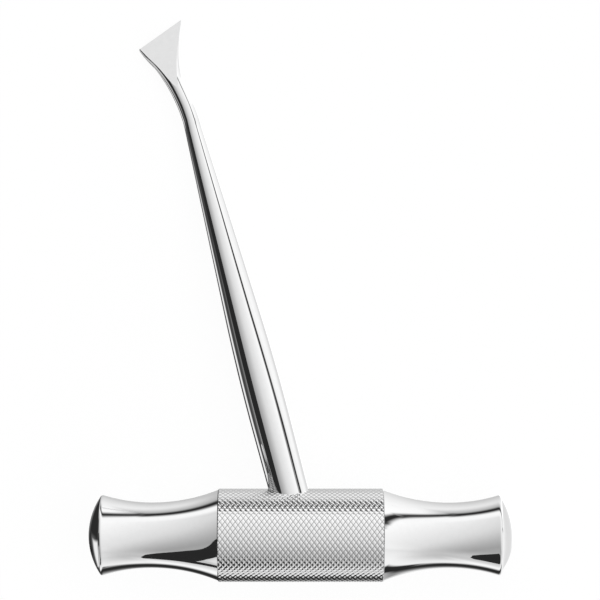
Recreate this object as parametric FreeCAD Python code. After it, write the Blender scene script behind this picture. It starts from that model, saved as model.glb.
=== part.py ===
import FreeCAD, Part
import Mesh
import math
import os

from FreeCAD import Matrix, Placement, Rotation, Vector

# Cross-bar root elevator, in millimetres, lying on its back as it comes to rest.
# Handle along X, blade pointing towards +Y, the blade's flat face turned up, floor at z = 0.
# It is drawn about the handle's centre first, then tipped down onto the floor.

# Handle: one turned bar, the same at both ends
barrel_diameter = 20.0
barrel_length = 35.4
barrel_end_diameter = 19.36
throat_diameter = 13.98
throat_from_centre = 31.8
rim_diameter = 17.3
rim_from_centre = 42.6
rim_round = 0.6
dome_height = 2.8

# Diamond knurl: two crossing sets of straight-sided grooves that leave a field of pyramids
knurl_depth = 0.28
knurl_pitch_along = 1.106
knurl_pyramids_around = 42

# Socket in the barrel and the tang that sits in it
socket_depth_past_centre = 4.5
tang_joint_gap = 0.02
tang_end_chamfer = 0.6

# Shank: round all along its own axis, distances counted from the handle's centre
shank_lean = 14.83
root_diameter = 8.35
shoulder_diameter = 8.78
shoulder_from_centre = 36.5
shoulder_round = 450.0
neck_diameter = 3.5
neck_from_centre = 90.9
neck_round = 41.0

# Blade: its cutting edge is a straight line across the end
blade_length = 19.43
edge_width = 11.23
edge_shift = -1.705
edge_turn = 20.9
blade_thickness = 2.64

# Stations of the blade from the neck to the edge, each as shares of the sizes above:
# length, side shift, turn, widening and thinning
blade_stations = [
    (0.00, 0.00, 0.00, 0.000, 0.00),
    (0.167, 0.15, 0.24, 0.000, 0.00),
    (0.362, 0.54, 0.48, 0.004, 0.05),
    (0.535, 0.906, 0.67, 0.082, 0.20),
    (0.697, 1.056, 0.81, 0.317, 0.35),
    (0.847, 1.138, 0.91, 0.649, 0.70),
    (1.00, 1.00, 1.00, 1.000, 1.00),
]

# Flat face ground on the front of the blade, and the bevel that sharpens its edge from behind
face_height_at_edge = 0.1
face_slope = 7.8
face_roll = 1.5
face_heading = 3.9
bevel_angle = 40.0
edge_land = 0.15

touch_precision = 0.004
origin = Vector(0, 0, 0)
across = Vector(1, 0, 0)
along = Vector(0, 1, 0)
up = Vector(0, 0, 1)


def line(start, end):
    return Part.LineSegment(start, end).toShape()


def arc_about(centre, start, end):
    """Arc from start to end around a centre, the short way."""
    middle = (start - centre) + (end - centre)
    middle.normalize()
    return Part.Arc(start, centre + middle * (start - centre).Length, end).toShape()


def hollow_centre(low, high):
    """Centre of the arc that leaves the low point level and rises to the high point."""
    run = high.x - low.x
    rise = high.y - low.y
    return low + along * ((run ** 2 + rise ** 2) / (2 * rise))


def round_between(dome_centre, dome_radius, waist_centre, waist_radius, radius):
    """Tangent round inside the dome's circle and outside the waist's: its start, end and centre."""
    gap = waist_centre - dome_centre
    inner = dome_radius - radius
    outer = waist_radius + radius
    foot = (gap.Length ** 2 + inner ** 2 - outer ** 2) / (2 * gap.Length)
    gap.normalize()
    sideways = Vector(gap.y, -gap.x, 0) * math.sqrt(inner ** 2 - foot ** 2)
    centre = dome_centre + gap * foot + sideways
    to_waist = (waist_centre - centre).normalize()
    to_dome = (centre - dome_centre).normalize()
    return centre + to_waist * radius, centre + to_dome * radius, centre


def rounded_corner(before, corner, after, radius):
    """Start, end and arc of a tangent round that replaces a corner of a profile."""
    back = before - corner
    ahead = after - corner
    half_angle = back.getAngle(ahead) / 2
    back.normalize()
    ahead.normalize()
    middle = back + ahead
    middle.normalize()
    start = corner + back * (radius / math.tan(half_angle))
    end = corner + ahead * (radius / math.tan(half_angle))
    centre = corner + middle * (radius / math.sin(half_angle))
    return start, end, arc_about(centre, start, end)


def turned(edges, axis):
    """Solid of revolution of a closed profile drawn beside its axis."""
    return Part.Face(Part.Wire(edges)).revolve(origin, axis, 360)


def beyond_plane(point, normal, size):
    """Block that fills the outer side of a plane, for cutting with."""
    block = Part.makeBox(2 * size, 2 * size, 2 * size, Vector(-size, -size, 0))
    block.Placement = Placement(point, Rotation(up, normal))
    return block


def grip_waste():
    """Everything turned away from the bar's right-hand end: outside the chamfer, grip and dome."""
    clear = barrel_diameter / 2 + knurl_depth
    chamfer_foot = Vector(barrel_length / 2, barrel_end_diameter / 2, 0)
    chamfer_top = chamfer_foot + (along - across) * (clear - chamfer_foot.y)
    throat = Vector(throat_from_centre, throat_diameter / 2, 0)
    rim = Vector(rim_from_centre, rim_diameter / 2, 0)
    apex = Vector(rim_from_centre + dome_height, 0, 0)
    dome_radius = (rim.y ** 2 + dome_height ** 2) / (2 * dome_height)
    dome_centre = apex - across * dome_radius
    inner_centre = hollow_centre(throat, chamfer_foot)
    outer_centre = hollow_centre(throat, rim)
    round_start, round_end, round_centre = round_between(
        dome_centre, dome_radius, outer_centre, (throat - outer_centre).Length, rim_round)
    beyond = apex + across * barrel_diameter
    return turned([
        line(chamfer_top, chamfer_foot),
        arc_about(inner_centre, chamfer_foot, throat),
        arc_about(outer_centre, throat, round_start),
        arc_about(round_centre, round_start, round_end),
        arc_about(dome_centre, round_end, apex),
        line(apex, beyond),
        line(beyond, beyond + along * clear),
        line(beyond + along * clear, chamfer_top),
    ], across)


def ring(station, radii):
    """Points round the X axis at one station, taking the radii in turn."""
    count = 2 * knurl_pyramids_around
    points = []
    for step in range(count):
        angle = 2 * math.pi * step / count
        radius = radii[step % len(radii)]
        points.append(Vector(station, radius * math.cos(angle), radius * math.sin(angle)))
    return points


def knurled_bar():
    """Long bar whose barrel has the knurl's skin, before the grips are turned.

    Crests and groove crossings change places from one row of points to the next,
    and each four-sided patch between two rows is folded along the groove that crosses it.
    """
    crest = barrel_diameter / 2
    valley = crest - knurl_depth
    rows = 2 * round(barrel_length / knurl_pitch_along)
    end = rim_from_centre + barrel_diameter / 2
    stations = [-end]
    stations += [(row / rows - 0.5) * barrel_length for row in range(rows + 1)]
    stations += [end]
    rings = []
    for row, station in enumerate(stations):
        rings.append(ring(station, [valley, crest] if row % 2 == 0 else [crest, valley]))
    facets = []
    for row, (near, beyond) in enumerate(zip(rings, rings[1:])):
        for step in range(len(near)):
            a, b = near[step - 1], near[step]
            c, d = beyond[step], beyond[step - 1]
            if (row + step) % 2 == 1:
                facets += [(a, b, c), (a, c, d)]
            else:
                facets += [(a, b, d), (b, c, d)]
    for last_ring, turn in ((rings[0], -1), (rings[-1], 1)):
        middle = across * last_ring[0].x
        for step in range(len(last_ring)):
            facets.append((middle, last_ring[step - 1], last_ring[step])[::turn])
    skin = Part.Shape()
    skin.makeShapeFromMesh(Mesh.Mesh(facets).Topology, 0.0001)
    return Part.Solid(skin)


def barrel_exit():
    """Distance along the shank's axis at which all of it is clear of the barrel."""
    lean = math.radians(shank_lean)
    return barrel_diameter / 2 / math.cos(lean) + root_diameter / 2 * math.tan(lean)


def make_handle():
    right_waste = grip_waste()
    left_waste = right_waste.mirror(origin, across)
    socket_length = socket_depth_past_centre + barrel_exit()
    socket = Part.makeCylinder(
        root_diameter / 2 + tang_joint_gap, socket_length, along * -socket_depth_past_centre, along)
    socket.rotate(origin, up, shank_lean)
    return knurled_bar().cut([right_waste, left_waste, socket])


def shank_profile():
    """Edges of the tang and shank beside their axis, and the far end of the neck."""
    foot = along * -socket_depth_past_centre
    root = across * (root_diameter / 2)
    foot_edge = foot + root - across * tang_end_chamfer
    tang_start = foot + root + along * tang_end_chamfer
    tang_end = root + along * barrel_exit()
    shoulder = Vector(shoulder_diameter / 2, shoulder_from_centre, 0)
    neck = Vector(neck_diameter / 2, neck_from_centre, 0)
    swell_start, swell_end, swell = rounded_corner(tang_end, shoulder, neck, shoulder_round)
    ease_start, ease_end, ease = rounded_corner(shoulder, neck, neck + along, neck_round)
    neck_end = along * ease_end.y
    edges = [
        line(foot, foot_edge),
        line(foot_edge, tang_start),
        line(tang_start, tang_end),
        line(tang_end, swell_start),
        swell,
        line(swell_end, ease_start),
        ease,
        line(ease_end, neck_end),
        line(neck_end, foot),
    ]
    return edges, neck_end


def station_outline(root, station):
    """Oval outline of the blade at one station, square to the blade's bent middle line."""
    length_share, shift_share, turn_share, wide_share, thin_share = station
    neck_half = neck_diameter / 2
    half_width = neck_half + wide_share * (edge_width / 2 - neck_half)
    half_thickness = neck_half + thin_share * (blade_thickness / 2 - neck_half)
    squash = Matrix()
    squash.scale(half_width, 1, half_thickness)
    oval = Part.Circle(origin, along, 1).toShape().transformGeometry(squash)
    oval.rotate(origin, up, turn_share * edge_turn)
    oval.translate(root + along * (length_share * blade_length) + across * (shift_share * edge_shift))
    return Part.Wire(oval.Edges)


def make_blade(root):
    """Bent, widening blade with its flat front face and the bevel behind the edge."""
    body = Part.makeLoft([station_outline(root, station) for station in blade_stations], True)
    reach = blade_length + edge_width
    edge_middle = root + along * blade_length + across * edge_shift + up * face_height_at_edge
    tilt = Rotation(up, face_heading) * Rotation(across, -face_slope) * Rotation(along, face_roll)
    face_normal = tilt.multVec(up)
    end_normal = Rotation(up, edge_turn).multVec(along)
    edge_line = end_normal.cross(face_normal)
    edge_line.normalize()
    inward = edge_line.cross(face_normal)
    bevel = math.radians(bevel_angle)
    bevel_run = inward * math.cos(bevel) - face_normal * math.sin(bevel)
    bevel_normal = edge_line.cross(bevel_run)
    body = body.cut(beyond_plane(edge_middle, face_normal, reach))
    return body.cut(beyond_plane(edge_middle - up * edge_land, bevel_normal, reach))


def make_shank():
    edges, neck_end = shank_profile()
    shank = turned(edges, along).fuse(make_blade(neck_end)).removeSplitter()
    return shank.rotate(origin, up, shank_lean)


def touch_angle(point):
    """Angle by which the tool tips about the handle before this point reaches the floor."""
    distance = math.hypot(point.y, point.z)
    return math.atan2(point.z, point.y) + math.asin(barrel_diameter / 2 / distance)


def lay_down(handle, shank):
    """Tips the tool onto the barrel and the back of the blade, over the frame's origin."""
    points = shank.tessellate(touch_precision)[0]
    far_points = [point for point in points if point.y > barrel_diameter]
    tilt = min(touch_angle(point) for point in far_points)
    reach = max(point.y * math.cos(tilt) + point.z * math.sin(tilt) for point in far_points)
    middle = (reach - barrel_diameter / 2) / 2
    for shape in (handle, shank):
        shape.rotate(origin, across, -math.degrees(tilt))
        shape.translate(Vector(0, -middle, barrel_diameter / 2))
    print("tipped by", round(math.degrees(tilt), 3), "degrees, middle moved by", round(middle, 3))


os.makedirs("parts", exist_ok=True)
handle = make_handle()
shank = make_shank()
lay_down(handle, shank)
for name, shape in (("cross_bar_handle", handle), ("shank_with_blade", shank)):
    print(name, "valid", shape.isValid(), "solids", len(shape.Solids), "volume", round(shape.Volume, 1))
    shape.exportStep("parts/" + name + ".step")
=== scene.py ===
import math

import bmesh
import bpy
import numpy as np
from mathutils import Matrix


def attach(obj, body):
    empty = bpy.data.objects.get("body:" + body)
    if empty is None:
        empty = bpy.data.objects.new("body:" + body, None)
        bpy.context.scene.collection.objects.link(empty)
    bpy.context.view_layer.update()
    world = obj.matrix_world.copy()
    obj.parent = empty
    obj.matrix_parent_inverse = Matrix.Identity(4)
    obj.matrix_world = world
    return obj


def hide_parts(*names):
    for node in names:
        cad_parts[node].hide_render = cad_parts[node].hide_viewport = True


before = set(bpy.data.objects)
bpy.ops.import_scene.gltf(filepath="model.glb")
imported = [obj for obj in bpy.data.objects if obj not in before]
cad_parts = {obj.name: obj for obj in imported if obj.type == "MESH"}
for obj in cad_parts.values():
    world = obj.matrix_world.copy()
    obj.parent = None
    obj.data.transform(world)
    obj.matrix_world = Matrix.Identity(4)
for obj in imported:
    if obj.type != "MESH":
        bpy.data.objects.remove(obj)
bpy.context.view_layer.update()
print("frame loaded:", sorted(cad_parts))

# The tool is drawn in millimetres about the handle's centre: x along the handle, y up the
# shank, z out of the blade's flat face. lay() then tips it back onto the floor, in metres.
rest = {"tilt": 4.693, "handleHeight": 0.010, "handleBack": -0.050002}


# Turns tool points back by the tilt about x, scales them to metres and lifts them.
def lay(points):
    tilt = math.radians(rest["tilt"])
    x, y, z = np.moveaxis(np.asarray(points, float), -1, 0) * 0.001
    back = y * math.cos(tilt) + z * math.sin(tilt) + rest["handleBack"]
    high = z * math.cos(tilt) - y * math.sin(tilt) + rest["handleHeight"]
    return np.stack([x, back, high], -1)


# Lens: looks straight down the tool's own z, so the photograph's frame is square to the tool
lens = {"right": -0.17, "up": 50.38, "away": 600.0, "frameWidth": 128.5, "sensor": 36.0}


def placeCamera():
    data = bpy.data.cameras.new("camera")
    data.sensor_width = lens["sensor"]
    data.lens = lens["sensor"] * lens["away"] / lens["frameWidth"]
    data.clip_start, data.clip_end = 0.01, 20.0
    cam = bpy.data.objects.new("camera", data)
    cam.location = lay([lens["right"], lens["up"], lens["away"]])
    cam.rotation_euler = (-math.radians(rest["tilt"]), 0, 0)
    bpy.context.scene.collection.objects.link(cam)
    bpy.context.scene.camera = cam


placeCamera()
bpy.context.scene.view_settings.view_transform = "Standard"


# Short ways to add nodes to one tree.
class NodeBoard:
    def __init__(self, tree):
        self.tree = tree
        tree.nodes.clear()

    def add(self, kind, **settings):
        node = self.tree.nodes.new(kind)
        for key, value in settings.items():
            setattr(node, key, value)
        return node

    def feed(self, socket, value):
        if isinstance(value, bpy.types.NodeSocket):
            self.tree.links.new(value, socket)
        else:
            socket.default_value = value

    def maths(self, operation, *values):
        node = self.add("ShaderNodeMath", operation=operation)
        for socket, value in zip(node.inputs, values):
            self.feed(socket, value)
        return node.outputs[0]

    def ramp(self, value, low, high, atLow=0.0, atHigh=1.0, smooth=True):
        node = self.add("ShaderNodeMapRange",
                        interpolation_type="SMOOTHSTEP" if smooth else "LINEAR")
        for socket, item in zip(node.inputs, (value, low, high, atLow, atHigh)):
            self.feed(socket, item)
        return node.outputs[0]

    def blend(self, share, first, second):
        node = self.add("ShaderNodeMix", data_type="FLOAT")
        for socket, item in zip(node.inputs, (share, None, first, second)):
            if item is not None:
                self.feed(socket, item)
        return node.outputs[0]


# Studio: where each card stands is given in degrees right and up from the lens, as the
# polished steel sees it; half sizes along and across it, its turn, its bow and its grey.
studio = {
    "plain": 0.775, "toRight": 0.0044, "toTop": 0.00295,
    "cards": {
        "whiteRight": (103, -14, 53.3, 91.1, -27.8, -27, 9.2, 0.949),
        "greyFarRight": (135, -10, 75, 16, 90, 0, 10, 0.76),
        "greyLeft": (-34.7, -21.6, 11.8, 72.9, 40.4, 19.1, 29.8, 0.31),
        "greyLow": (-58.9, -77.8, 60.5, 20.7, -28.9, 13.5, 22.3, 0.613),
        "greyUpLeft": (-85, 115, 30, 32, 0, 0, 32, 0.30),
        "whiteUpRight": (67.1, 114, 105, 46.5, 12.1, 5.41, 39.8, 0.978),
        "greyBehind": (-11.9, 159, 122, 32.3, 6.36, -0.502, 40, 0.576),
        "whiteUnderArc": (20.9, 57.1, 95.5, 8.51, -18.5, -1.28, 6.15, 1.01),
        "shadeOverArc": (-30, 98, 45, 8, -10, 0, 14, 0.48),
        "arcLeft": (-26.7, 85.5, 31, 7.0, -10, 0, 5.5, 0.022),
        "arcMiddle": (20.5, 72, 22, 5.6, -31, -4.5, 5, 0.025),
        "arcRight": (44.5, 47, 15, 5.0, -69, -8, 3.5, 0.022),
        "arcDown": (48.5, 29, 7, 4, -80, 0, 3, 0.03),
        "arcEnd": (60, 17, 14, 4.4, -26.6, 0, 2.5, 0.02),
        "arcTail": (59, -25, 40, 2.5, 90, 0, 3.5, 0.15),
        "lowCardEnd": (-83, -8.41, 7.58, 33.6, 75.3, 31.1, 4.99, 0.0235),
        "lightPatch": (-50.7, -48.1, 4.73, 23.4, 17.8, -14.2, 4.5, 0.79),
        "shankGrey": (-88, -24, 9, 9, 75, 0, 4, 0.18),
        "darkUnderEdge": (-70, -18, 7, 9, 15, 0, 4, 0.03),
        "brightBelow": (-31.6, -139, 29.5, 42.5, -2.66, 11.1, 13.3, 1.03),
        "lowBand": (-5.21, -134, 57.5, 20.5, 8.8, 2.59, 7.31, 0.0212),
        "lowBandEnd": (43.9, -97.1, 16, 8.07, 50.9, 14.2, 2.97, 0.0214),
        "lightBottom": (16.5, -181, 39.2, 31.1, 17.6, 4.32, 21.5, 0.871),
        "darkLeft": (-112, -35.7, 20.8, 78.3, -15.5, 33.9, 6, 0.0587),
        "brightLeft": (-119, -48, 10, 30, 10, 0, 5, 0.9),
        "darkLowLeft": (-151, -45, 33, 8, 90, 0, 5, 0.025),
        "darkFarLeft": (-133, 45, 58, 21, 90, 0, 7, 0.025),
        "greyBehindLeft": (-168, -20, 75, 12, 90, 0, 8, 0.2),
    },
}


# The world's direction is turned into degrees right and up of the lens: the angle from the
# lens's axis, laid out along the way the direction points. Each card is a soft-edged patch there.
def studioWorld():
    world = bpy.data.worlds.new("studio")
    world.use_nodes = True
    b = NodeBoard(world.node_tree)
    where = b.add("ShaderNodeTexCoord").outputs["Generated"]
    turn = b.add("ShaderNodeMapping")
    b.feed(turn.inputs["Vector"], where)
    turn.inputs["Rotation"].default_value = (math.radians(rest["tilt"]), 0, 0)
    axes = b.add("ShaderNodeSeparateXYZ")
    b.feed(axes.inputs[0], turn.outputs[0])
    x, y, z = axes.outputs
    away = b.maths("MULTIPLY", b.maths("ARCCOSINE", z), 180 / math.pi)
    flat = b.maths("SQRT", b.maths("ADD", b.maths("MULTIPLY", x, x), b.maths("MULTIPLY", y, y)))
    stretch = b.maths("DIVIDE", away, b.maths("MAXIMUM", flat, 0.0001))
    right = b.maths("MULTIPLY", x, stretch)
    top = b.maths("MULTIPLY", y, stretch)
    light = b.maths("ADD", b.maths("MULTIPLY_ADD", right, studio["toRight"], studio["plain"]),
                    b.maths("MULTIPLY", top, studio["toTop"]))
    for atRight, atTop, halfLong, halfWide, angle, bow, soft, grey in studio["cards"].values():
        c, s = math.cos(math.radians(angle)), math.sin(math.radians(angle))
        r = b.maths("SUBTRACT", right, float(atRight))
        t = b.maths("SUBTRACT", top, float(atTop))
        along = b.maths("MULTIPLY_ADD", r, c, b.maths("MULTIPLY", t, s))
        across = b.maths("MULTIPLY_ADD", t, c, b.maths("MULTIPLY", r, -s))
        bowed = b.maths("MULTIPLY", b.maths("MULTIPLY", along, along), bow / 1000)
        across = b.maths("SUBTRACT", across, bowed)
        out = b.maths("MAXIMUM", b.maths("SUBTRACT", b.maths("ABSOLUTE", along), float(halfLong)),
                      b.maths("SUBTRACT", b.maths("ABSOLUTE", across), float(halfWide)))
        share = b.ramp(out, -soft, soft, 1.0, 0.0)
        light = b.blend(share, light, grey)
    seen = b.add("ShaderNodeLightPath")
    shown = b.blend(seen.outputs["Is Camera Ray"], light, 1.0)
    glow = b.add("ShaderNodeBackground")
    colour = b.add("ShaderNodeCombineColor")
    for socket in colour.inputs:
        b.feed(socket, shown)
    b.feed(glow.inputs["Color"], colour.outputs[0])
    b.feed(b.add("ShaderNodeOutputWorld").inputs["Surface"], glow.outputs[0])
    bpy.context.scene.world = world


studioWorld()

# Dark card close to the left of the lens: corners in the same degrees, seen from the handle's
# middle. It is near enough for the two grips to see it a little differently.
darkCard = {
    "away": 480.0, "grey": 0.022,
    "corners": [(-53, 10), (-45.8, 0), (-43, -12), (-40.4, -24), (-37, -33), (-33.2, -38.5),
                (-28.5, -43.5), (-20, -53), (-11, -61), (-5, -67), (-3, -77), (-5, -83), (-17, -88),
                (-35, -88), (-50, -81), (-51, -73), (-44, -75), (-36, -77), (-41, -62), (-47, -46),
                (-49, -22), (-77, -23), (-77, 6)],
}


# A card seen only in the steel: each corner stands at its distance along its direction.
def nearCard(name, card):
    right, top = np.radians(np.array(card["corners"], float)).T
    turn = np.hypot(right, top)
    reach = card["away"] * np.sin(turn) / turn
    corners = np.stack([right * reach, top * reach, card["away"] * np.cos(turn)], -1)
    mesh = bpy.data.meshes.new(name)
    mesh.from_pydata(lay(corners).tolist(), [], [list(range(len(corners)))])
    material = bpy.data.materials.new(name)
    material.use_nodes = True
    b = NodeBoard(material.node_tree)
    glow = b.add("ShaderNodeEmission")
    glow.inputs["Color"].default_value = (*[card["grey"]] * 3, 1)
    b.feed(b.add("ShaderNodeOutputMaterial").inputs["Surface"], glow.outputs[0])
    mesh.materials.append(material)
    piece = bpy.data.objects.new(name, mesh)
    bpy.context.scene.collection.objects.link(piece)
    piece.visible_camera = piece.visible_diffuse = piece.visible_shadow = False
    piece.visible_transmission = piece.visible_volume_scatter = False


nearCard("darkCard", darkCard)
print("studio set")


# A mesh of tool points laid on the floor, with each face's material and smoothness
def meshPiece(name, points, faces, materials, faceMaterial=None, smooth=None):
    mesh = bpy.data.meshes.new(name)
    mesh.from_pydata(lay(points).tolist(), [], faces)
    for material in materials:
        mesh.materials.append(material)
    if faceMaterial is not None:
        mesh.polygons.foreach_set("material_index", np.asarray(faceMaterial, np.int32))
    if smooth is None:
        smooth = np.ones(len(mesh.polygons), bool)
    mesh.polygons.foreach_set("use_smooth", np.asarray(smooth, bool))
    mesh.update()
    piece = bpy.data.objects.new(name, mesh)
    bpy.context.scene.collection.objects.link(piece)
    return piece


# Finish and painted shade: grain size, and the radii between which the knurl's painted groove shade
# goes from dark to light
finishAndGrooveShade = {"grainScale": 900.0, "grainDetail": 4.0, "paintedGrooveShadeRadius": 0.009908, "paintedGrooveShadeEndRadius": 0.009924,
          "tint": (0.997, 0.998, 1.0), "grainLow": 0.3, "grainHigh": 0.7, "grainSpread": 0.25}


# Chrome with a faint polish grain; a knurled one is duller, and its base colour is darkened down in its
# grooves as painted shade.
def steel(name, roughness, base, paintGrooveShade=False):
    material = bpy.data.materials.new(name)
    material.use_nodes = True
    b = NodeBoard(material.node_tree)
    shader = b.add("ShaderNodeBsdfPrincipled")
    shader.inputs["Metallic"].default_value = 1.0
    where = b.add("ShaderNodeTexCoord").outputs["Object"]
    grain = b.add("ShaderNodeTexNoise")
    b.feed(grain.inputs["Vector"], where)
    grain.inputs["Scale"].default_value = finishAndGrooveShade["grainScale"]
    grain.inputs["Detail"].default_value = finishAndGrooveShade["grainDetail"]
    low, high, spread = finishAndGrooveShade["grainLow"], finishAndGrooveShade["grainHigh"], finishAndGrooveShade["grainSpread"]
    rough = b.ramp(grain.outputs["Fac"], low, high, roughness * (1 - spread),
                   roughness * (1 + spread), smooth=False)
    light, grainLowAndGrooveShade = base
    if paintGrooveShade:
        offset = b.add("ShaderNodeVectorMath", operation="SUBTRACT")
        b.feed(offset.inputs[0], where)
        offset.inputs[1].default_value = (0, rest["handleBack"], rest["handleHeight"])
        axes = b.add("ShaderNodeSeparateXYZ")
        b.feed(axes.inputs[0], offset.outputs[0])
        y, z = axes.outputs["Y"], axes.outputs["Z"]
        radius = b.maths("SQRT", b.maths("ADD", b.maths("MULTIPLY", y, y), b.maths("MULTIPLY", z, z)))
        # painted shade: the base colour darkens from the facets down to the groove bottoms
        grainToneAndGrooveShade = b.ramp(radius, finishAndGrooveShade["paintedGrooveShadeRadius"], finishAndGrooveShade["paintedGrooveShadeEndRadius"], grainLowAndGrooveShade, light)
    else:
        grainToneAndGrooveShade = b.ramp(grain.outputs["Fac"], low, high, grainLowAndGrooveShade, light, smooth=False)
    colour = b.add("ShaderNodeCombineColor")
    for socket, tint in zip(colour.inputs, finishAndGrooveShade["tint"]):
        b.feed(socket, b.maths("MULTIPLY", grainToneAndGrooveShade, tint))
    b.feed(shader.inputs["Base Color"], colour.outputs[0])
    b.feed(shader.inputs["Roughness"], rough)
    b.feed(b.add("ShaderNodeOutputMaterial").inputs["Surface"], shader.outputs[0])
    return material


# Cross bar: radius as a function of the distance from the middle, revolved about x
bar = {
    "barrelEnd": 17.7, "barrelEndRadius": 9.68, "throat": 31.8, "throatRadius": 6.99,
    "rim": 42.6, "rimRadius": 8.65, "rimRound": 0.6, "domeHeight": 2.8, "endSlope": 3,
    "gripRows": 40, "roundRows": 8, "domeRows": 14, "sharpAbove": 25,
}
knurl = {"crest": 10.0, "around": 42, "along": 32,
         # drop from the crest, in millimetres, at even steps from a crest to a groove's bottom
         "drops": [0.0, 0.0325, 0.065, 0.0975]}


# Right end's rows, x and radius: two hollow arcs, a tangent round and the dome's arc.
def gripProfile():
    throat = np.array([bar["throat"], bar["throatRadius"]])
    runIn, riseIn = bar["throat"] - bar["barrelEnd"], bar["barrelEndRadius"] - bar["throatRadius"]
    runOut, riseOut = bar["rim"] - bar["throat"], bar["rimRadius"] - bar["throatRadius"]
    radiusIn = (runIn ** 2 + riseIn ** 2) / (2 * riseIn)
    radiusOut = (runOut ** 2 + riseOut ** 2) / (2 * riseOut)
    domeRadius = (bar["rimRadius"] ** 2 + bar["domeHeight"] ** 2) / (2 * bar["domeHeight"])
    apex = bar["rim"] + bar["domeHeight"]
    dome = np.array([apex - domeRadius, 0.0])
    waist = throat + [0.0, radiusOut]
    gap = waist - dome
    length = np.hypot(*gap)
    inner, outer = domeRadius - bar["rimRound"], radiusOut + bar["rimRound"]
    foot = (length ** 2 + inner ** 2 - outer ** 2) / (2 * length)
    side = np.array([gap[1], -gap[0]]) / length * math.sqrt(inner ** 2 - foot ** 2)
    centre = dome + gap / length * foot + side
    toWaist = math.atan2(*(waist - centre)[::-1])
    toDome = math.atan2(*(centre - dome)[::-1])
    x = np.linspace(bar["barrelEnd"], bar["throat"], bar["gripRows"])
    waistIn = np.stack([x, throat[1] + radiusIn - np.sqrt(radiusIn ** 2 - (x - throat[0]) ** 2)], -1)
    start = centre[0] + bar["rimRound"] * math.cos(toWaist)
    x = np.linspace(bar["throat"], start, bar["gripRows"])[1:]
    waistOut = np.stack([x, throat[1] + radiusOut - np.sqrt(radiusOut ** 2 - (x - throat[0]) ** 2)], -1)
    turn = np.linspace(toWaist, toDome, bar["roundRows"])[1:]
    rim = centre + bar["rimRound"] * np.stack([np.cos(turn), np.sin(turn)], -1)
    turn = np.linspace(toDome, 0.0, bar["domeRows"])[1:-1]
    cap = dome + domeRadius * np.stack([np.cos(turn), np.sin(turn)], -1)
    return np.concatenate([waistIn, waistOut, rim, cap]), apex


# One skin from pole to pole. On the barrel each pyramid's height falls with the larger of its two
# distances from the crest, measured across the two sets of grooves.
def crossBar(polished, shadedKnurl):
    grip, apex = gripProfile()
    steps = len(knurl["drops"]) - 1
    columns = 2 * knurl["around"] * steps
    rows = 2 * knurl["along"] * steps
    x = np.linspace(-bar["barrelEnd"], bar["barrelEnd"], rows + 1)[:, None]
    j = np.arange(rows + 1)[:, None] / steps
    k = np.arange(columns)[None, :] / steps
    p, q = (k + j) / 2, (k - j) / 2
    toGroove = 2 * np.maximum(abs(p - np.round(p)), abs(q - np.round(q)))
    radius = knurl["crest"] - np.interp(toGroove, np.linspace(0, 1, steps + 1), knurl["drops"])
    radius = np.minimum(radius, bar["barrelEndRadius"] + bar["endSlope"] * (bar["barrelEnd"] - abs(x)))
    right = np.repeat(grip[1:, 1:2], columns, 1)
    radii = np.concatenate([right[::-1], radius, right])
    stations = np.concatenate([-grip[:0:-1, 0], x[:, 0], grip[1:, 0]])
    angle = 2 * math.pi * np.arange(columns) / columns
    points = np.stack(np.broadcast_arrays(
        stations[:, None], radii * np.cos(angle), radii * np.sin(angle)), -1).reshape(-1, 3)
    count = len(stations)
    row, column = np.meshgrid(np.arange(count - 1), np.arange(columns), indexing="ij")
    after = (column + 1) % columns
    a, b = row * columns + column, row * columns + after
    c, d = b + columns, a + columns
    first = len(grip) - 1
    onBarrel = (row >= first) & (row < first + rows)
    patch = column // steps + (row - first) // steps
    alongFold = (patch % 2 == 0) & onBarrel
    one = np.where(alongFold[..., None], np.stack([a, b, d], -1), np.stack([a, b, c], -1))
    two = np.where(alongFold[..., None], np.stack([b, c, d], -1), np.stack([a, c, d], -1))
    faces = np.concatenate([one.reshape(-1, 3), two.reshape(-1, 3)])
    isKnurl = np.concatenate([onBarrel.ravel(), onBarrel.ravel()])
    ring = np.arange(columns)
    left, far = len(points), len(points) + 1
    points = np.concatenate([points, [[-apex, 0, 0], [apex, 0, 0]]])
    last = (count - 1) * columns
    startCap = np.stack([np.full(columns, left), (ring + 1) % columns, ring], -1)
    endCap = np.stack([np.full(columns, far), last + ring, last + (ring + 1) % columns], -1)
    faces = np.concatenate([faces, startCap, endCap])
    isKnurl = np.concatenate([isKnurl, np.zeros(2 * columns, bool)])
    return meshPiece("crossBar", points, faces.tolist(), [polished, shadedKnurl], isKnurl, ~isKnurl)


# Matrix of a turn about one axis
def turnAbout(axis, degrees):
    c, s = math.cos(math.radians(degrees)), math.sin(math.radians(degrees))
    i, j = [(1, 2), (2, 0), (0, 1)][axis]
    turn = np.eye(3)
    turn[i, i] = turn[j, j] = c
    turn[i, j], turn[j, i] = -s, s
    return turn


# Socket: the blind slanting hole in the barrel that holds the tang, cut with a plain cylinder
socket = {"lean": 14.83, "radius": 4.195, "foot": -4.5, "past": 14.0, "columns": 96}


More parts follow.
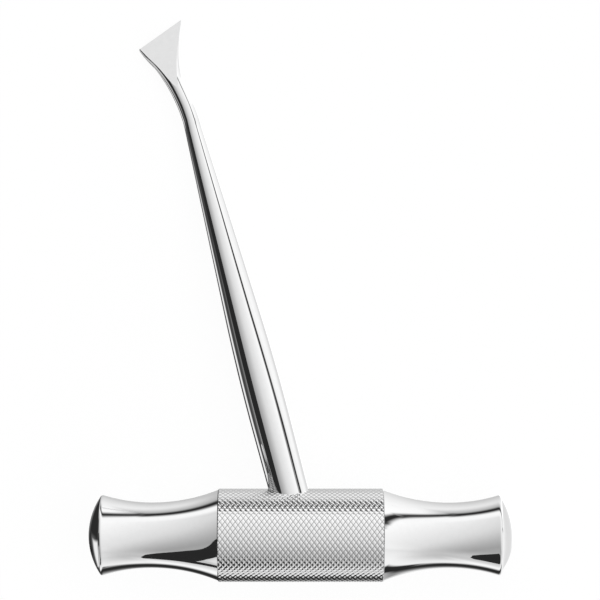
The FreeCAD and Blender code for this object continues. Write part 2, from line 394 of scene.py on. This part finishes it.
# The cutter is a circle of the socket's radius carried along the leaning axis
def cutSocket(piece):
    angle = 2 * math.pi * np.arange(socket["columns"]) / socket["columns"]
    rings = np.array([[socket["radius"], socket["foot"]], [socket["radius"], socket["past"]]])
    points = np.stack(np.broadcast_arrays(
        rings[:, :1] * np.sin(angle), rings[:, 1:], rings[:, :1] * np.cos(angle)), -1).reshape(-1, 3)
    n = socket["columns"]
    ring, after = np.arange(n), (np.arange(n) + 1) % n
    faces = np.stack([ring, after, n + after, n + ring], -1).tolist()
    faces += [ring[::-1].tolist(), (n + ring).tolist()]
    cutter = meshPiece("socketCutter", points @ turnAbout(2, socket["lean"]).T, faces, [])
    cut = piece.modifiers.new("socket", "BOOLEAN")
    cut.operation, cut.solver, cut.object = "DIFFERENCE", "EXACT", cutter
    seen = piece.evaluated_get(bpy.context.evaluated_depsgraph_get())
    result = bpy.data.meshes.new_from_object(seen)
    piece.modifiers.remove(cut)
    piece.data = result
    bpy.data.objects.remove(cutter)


polishedHandle = steel("polishedHandleSteel", 0.03, (0.95, 0.93))
# the knurl's second colour, 0.34, is painted shade in its grooves
knurlSteelWithShade = steel("knurlSteelPaintedGrooveShade", 0.05, (1.0, 0.34), paintGrooveShade=True)
crossBarPiece = crossBar(polishedHandle, knurlSteelWithShade)
cutSocket(crossBarPiece)
crossBarPiece.data.set_sharp_from_angle(angle=math.radians(bar["sharpAbove"]))
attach(crossBarPiece, "root")
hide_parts("cross_bar_handle")
print("cross bar:", len(crossBarPiece.data.polygons), "faces")


# Shank and blade: one skin, rings along the leaning axis and then along the bent blade
shank = {
    "lean": socket["lean"], "tangFoot": socket["foot"], "tangChamfer": 0.6, "rootRadius": 4.175,
    "shoulderRadius": 4.39, "shoulder": 36.5, "shoulderRound": 450.0,
    "neckRadius": 1.75, "neck": 90.9, "neckRound": 41.0,
    "rootRows": 12, "swellRows": 60, "taperRows": 70, "easeRows": 24, "sharpAbove": 6.0,
}
blade = {
    "length": 19.43, "edgeWidth": 11.23, "edgeShift": -1.705, "edgeTurn": 20.9, "thickness": 2.64,
    "faceHeight": 0.1, "faceSlope": 7.8, "faceRoll": 1.5, "faceHeading": 3.9,
    "bevelAngle": 40.0, "edgeLand": 0.15,
    "rows": 110, "bevelRows": 5, "topColumns": 40, "backColumns": 112, "startHalf": 9.0,
    "stopFrom": 0.85, "stopTries": 601, "lateFrom": 0.8,
    # shares of length, side shift, turn, widening and thinning, from the neck to the edge
    "stations": [
        (0.0, 0.0, 0.0, 0.0, 0.0), (0.167, 0.15, 0.24, 0.0, 0.0), (0.362, 0.54, 0.48, 0.004, 0.05),
        (0.535, 0.906, 0.67, 0.082, 0.20), (0.697, 1.056, 0.81, 0.317, 0.35),
        (0.847, 1.138, 0.91, 0.649, 0.70), (1.0, 1.0, 1.0, 1.0, 1.0),
    ],
}


# Points of the arc that rounds a profile's corner.
def tangentRound(before, corner, after, radius, rows):
    back, ahead = before - corner, after - corner
    back, ahead = back / np.hypot(*back), ahead / np.hypot(*ahead)
    half = math.acos(np.clip(back @ ahead, -1, 1)) / 2
    middle = (back + ahead) / np.hypot(*(back + ahead))
    centre = corner + middle * radius / math.sin(half)
    start = corner + back * radius / math.tan(half) - centre
    end = corner + ahead * radius / math.tan(half) - centre
    share = np.linspace(0, 1, rows)[:, None]
    chord = start + (end - start) * share
    return centre + radius * chord / np.hypot(chord[:, :1], chord[:, 1:])


# Rows of the shank, radius and distance along its axis.
def shankProfile():
    lean = math.radians(shank["lean"])
    barrelExit = knurl["crest"] / math.cos(lean) + shank["rootRadius"] * math.tan(lean)
    tang = np.array([shank["rootRadius"], barrelExit])
    shoulder = np.array([shank["shoulderRadius"], shank["shoulder"]])
    neck = np.array([shank["neckRadius"], shank["neck"]])
    swell = tangentRound(tang, shoulder, neck, shank["shoulderRound"], shank["swellRows"])
    ease = tangentRound(shoulder, neck, neck + [0, 1], shank["neckRound"], shank["easeRows"])
    foot = shank["tangFoot"]
    lower = [[shank["rootRadius"] - shank["tangChamfer"], foot],
             [shank["rootRadius"], foot + shank["tangChamfer"]]]
    root = np.linspace(tang, swell[0], shank["rootRows"])[:-1]
    taper = np.linspace(swell[-1], ease[0], shank["taperRows"])[1:-1]
    return np.concatenate([lower, root, swell, taper, ease])


# Natural cubic through the values at the knots, read at other places.
def splineThrough(knots, values, at):
    n = len(knots)
    gap = np.diff(knots)
    system = np.eye(n)
    side = np.zeros((n, values.shape[1]))
    for i in range(1, n - 1):
        system[i, i - 1:i + 2] = gap[i - 1], 2 * (gap[i - 1] + gap[i]), gap[i]
        side[i] = 6 * ((values[i + 1] - values[i]) / gap[i] - (values[i] - values[i - 1]) / gap[i - 1])
    curve = np.linalg.solve(system, side)
    i = np.clip(np.searchsorted(knots, at, side="right") - 1, 0, n - 2)
    h = gap[i][..., None]
    low, high = (knots[i + 1] - at)[..., None], (at - knots[i])[..., None]
    return (curve[i] * low ** 3 + curve[i + 1] * high ** 3) / (6 * h) \
        + (values[i] / h - curve[i] * h / 6) * low + (values[i + 1] / h - curve[i + 1] * h / 6) * high


# Point and normal of the flat face and of the bevel, in the shank's own frame.
def bladePlanes(neckEnd):
    turn = turnAbout(2, blade["faceHeading"]) @ turnAbout(0, -blade["faceSlope"])
    turn = turn @ turnAbout(1, blade["faceRoll"])
    normal = turn[:, 2]
    edge = np.array([blade["edgeShift"], neckEnd + blade["length"], blade["faceHeight"]])
    end = turnAbout(2, blade["edgeTurn"])[:, 1]
    edgeLine = np.cross(end, normal)
    edgeLine /= np.linalg.norm(edgeLine)
    inward = np.cross(edgeLine, normal)
    bevel = math.radians(blade["bevelAngle"])
    run = inward * math.cos(bevel) - normal * math.sin(bevel)
    bevelNormal = np.cross(edgeLine, run)
    return (edge, normal), (edge - [0, 0, blade["edgeLand"]], bevelNormal), end


# Centre, turn, half width and half thickness of the oval at a share of the stations.
def bladeSize(share, neckEnd):
    stations = np.array(blade["stations"])
    knots = np.linspace(0, 1, len(stations))
    length, shift, turn, wide, thin = np.moveaxis(splineThrough(knots, stations, share), -1, 0)
    neckHalf = shank["neckRadius"]
    centre = np.stack([shift * blade["edgeShift"], neckEnd + length * blade["length"], 0 * shift], -1)
    turn = np.radians(turn * blade["edgeTurn"])
    return (centre, turn, neckHalf + wide * (blade["edgeWidth"] / 2 - neckHalf),
            neckHalf + thin * (blade["thickness"] / 2 - neckHalf))


# Points of the oval cut by the face's plane. side 0 runs over the cut, side 1 round the back;
# where goes from 0 to 1 along it.
def bladeRing(share, side, where, neckEnd, face):
    centre, turn, halfWide, halfThick = bladeSize(share, neckEnd)
    wideways = np.stack([np.cos(turn), np.sin(turn), 0 * turn], -1)
    point, normal = face
    clear = (centre - point) @ normal
    alongWide, alongThick = halfWide * (wideways @ normal), halfThick * normal[2]
    reach = np.hypot(alongWide, alongThick)
    crown = np.arctan2(alongThick, alongWide)
    cut = np.arccos(np.clip(-clear / reach, -1, 1))
    half = np.maximum(cut, math.radians(blade["startHalf"]))
    spread = np.where(side == 0, -half + 2 * half * where, half + (2 * math.pi - 2 * half) * where)

    def oval(angle):
        return centre + (halfWide * np.cos(angle))[..., None] * wideways \
            + (halfThick * np.sin(angle))[..., None] * [0, 0, 1.0]

    ring = oval(crown + spread)
    low, high = oval(crown - half), oval(crown + half)
    chord = low + (high - low) * np.asarray(where)[..., None]
    wholly = ((side == 0) & (cut >= half - 1e-9))[..., None]
    ring = np.where(wholly, chord, ring)
    over = np.maximum((ring - point) @ normal, 0)
    return ring - over[..., None] * normal


# One skin of rings: circles of the profile's radius along the axis, then the blade's cut ovals,
# then straight runs down the bevel. Returns the piece and the flat face's normal.
def shankWithBlade(polished, ground):
    profile = shankProfile()
    neckEnd = profile[-1, 1]
    face, bevel, end = bladePlanes(neckEnd)
    top, back = blade["topColumns"], blade["backColumns"]
    side = np.concatenate([np.zeros(top, int), np.ones(back, int)])
    where = np.concatenate([np.arange(top) / top, np.arange(back) / back])
    columns = top + back
    # each back column runs only as far as the bevel's plane, found on a fine row of shares
    count = blade["stopTries"]
    tries = np.linspace(blade["stopFrom"], 1.0, count)[:, None]
    tried = bladeRing(np.repeat(tries, columns, 1), side[None],
                      np.broadcast_to(where, (count, columns)), neckEnd, face)
    beyond = (tried - bevel[0]) @ bevel[1] > 0
    beyond &= side[None] == 1
    firstBeyond = np.where(beyond.any(0), beyond.argmax(0), count - 1)
    stop = tries[firstBeyond, 0]
    share = np.linspace(0, 1, blade["rows"] + 1)[:, None]
    lateFrom = blade["lateFrom"]
    late = np.clip((share - lateFrom) / (1 - lateFrom), 0, 1)
    share = np.minimum(share, lateFrom) + late * (stop[None] - lateFrom)
    rings = bladeRing(share, side[None], np.broadcast_to(where, share.shape), neckEnd, face)
    # the bevel: straight runs in its own plane from the last ring to the blade's end
    lastRing = rings[-1]
    run = np.cross(np.cross(end, face[1]), bevel[1])
    run /= np.linalg.norm(run)
    gap = ((face[0] - lastRing) @ end) / (run @ end)
    lastShare = np.linspace(0, 1, blade["bevelRows"] + 1)[1:, None, None]
    bevelRings = lastRing + lastShare * gap[None, :, None] * run
    bevelRings = np.where((side == 0)[None, :, None], lastRing, bevelRings)
    # the shank's rings, with the columns of the blade's first one
    first = rings[0] - [0, neckEnd, 0]
    around = first[:, [0, 2]] / np.hypot(first[:, :1], first[:, 2:])
    radius, t = profile[:-1, 0][:, None], profile[:-1, 1][:, None]
    shankRings = np.stack(np.broadcast_arrays(radius * around[:, 0], t, radius * around[:, 1]), -1)
    rings = np.concatenate([shankRings, rings, bevelRings])
    count = len(rings)
    points = rings.reshape(-1, 3)
    row, column = np.meshgrid(np.arange(count - 1), np.arange(columns), indexing="ij")
    after = (column + 1) % columns
    a, b = row * columns + column, row * columns + after
    faces = np.stack([a, a + columns, b + columns, b], -1).reshape(-1, 4)
    isFlat = ((row >= len(shankRings)) & (column < top)).ravel()
    foot = len(points)
    points = np.concatenate([points, [[0, shank["tangFoot"], 0]]])
    ring = np.arange(columns)
    footCap = np.stack([np.full(columns, foot), ring, (ring + 1) % columns], -1).tolist()
    endFace = [((count - 1) * columns + ring[::-1]).tolist()]
    lean = turnAbout(2, shank["lean"])
    points = points @ lean.T
    faces = faces.tolist() + footCap + endFace
    isFlat = np.concatenate([isFlat, np.zeros(columns + 1, bool)])
    piece = meshPiece("shankWithBlade", points, faces, [polished, ground], isFlat)
    turned = lay(lean @ face[1]) - lay([0, 0, 0])
    return piece, turned / np.linalg.norm(turned)


polishedShank = steel("polishedShankSteel", 0.03, (0.95, 0.93))
groundFace = steel("groundFaceSteel", 0.10, (0.95, 0.92))
shankPiece, faceNormal = shankWithBlade(polishedShank, groundFace)


# Mending: distances in metres within which points join, and how square a ground face is
mend = {"joinWithin": 2e-7, "closeWithin": 1e-8, "squareAbove": 0.9998}


# Joins doubled points, drops the faces that this closes up, and parts sharp edges.
def tidyMesh(piece, sharpAbove):
    work = bmesh.new()
    work.from_mesh(piece.data)
    bmesh.ops.remove_doubles(work, verts=work.verts, dist=mend["joinWithin"])
    bmesh.ops.dissolve_degenerate(work, edges=work.edges, dist=mend["closeWithin"])
    bmesh.ops.recalc_face_normals(work, faces=work.faces)
    work.to_mesh(piece.data)
    work.free()
    piece.data.set_sharp_from_angle(angle=math.radians(sharpAbove))


# Leaves the second material only on the faces square to the normal.
def keepGroundWhere(piece, normal):
    faces = piece.data.polygons
    normals, index = np.zeros((len(faces), 3)), np.zeros(len(faces), np.int32)
    faces.foreach_get("normal", normals.ravel())
    faces.foreach_get("material_index", index)
    index[normals @ normal < mend["squareAbove"]] = 0
    faces.foreach_set("material_index", index)
    return int(index.sum())


tidyMesh(shankPiece, shank["sharpAbove"])
print("ground faces:", keepGroundWhere(shankPiece, faceNormal))
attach(shankPiece, "root")
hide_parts("shank_with_blade")
print("shank and blade:", len(shankPiece.data.polygons), "faces")


# Floor: white to the lens with the tool's soft shadow on it, and out of the steel's sight
floorLook = {"half": 1.5, "grey": 0.8, "glow": 1.075, "glowShare": 0.86}


def paleFloor():
    size = floorLook["half"]
    mesh = bpy.data.meshes.new("floor")
    corners = [(-size, -size, 0), (size, -size, 0), (size, size, 0), (-size, size, 0)]
    mesh.from_pydata(corners, [], [(0, 1, 2, 3)])
    floor = bpy.data.objects.new("floor", mesh)
    bpy.context.scene.collection.objects.link(floor)
    material = bpy.data.materials.new("paleFloor")
    material.use_nodes = True
    b = NodeBoard(material.node_tree)
    matt = b.add("ShaderNodeBsdfDiffuse")
    matt.inputs["Color"].default_value = (*[floorLook["grey"]] * 3, 1)
    clear = b.add("ShaderNodeBsdfTransparent")
    white = b.add("ShaderNodeEmission")
    white.inputs["Color"].default_value = (1, 1, 1, 1)
    white.inputs["Strength"].default_value = floorLook["glow"]
    seen = b.add("ShaderNodeLightPath")
    toLens = b.add("ShaderNodeMixShader")
    b.feed(toLens.inputs[0], floorLook["glowShare"])
    b.feed(toLens.inputs[1], matt.outputs[0])
    b.feed(toLens.inputs[2], white.outputs[0])
    both = b.add("ShaderNodeMixShader")
    b.feed(both.inputs[0], seen.outputs["Is Camera Ray"])
    b.feed(both.inputs[1], clear.outputs[0])
    b.feed(both.inputs[2], toLens.outputs[0])
    b.feed(b.add("ShaderNodeOutputMaterial").inputs["Surface"], both.outputs[0])
    mesh.materials.append(material)
    return floor


floor = paleFloor()
print("floor laid")
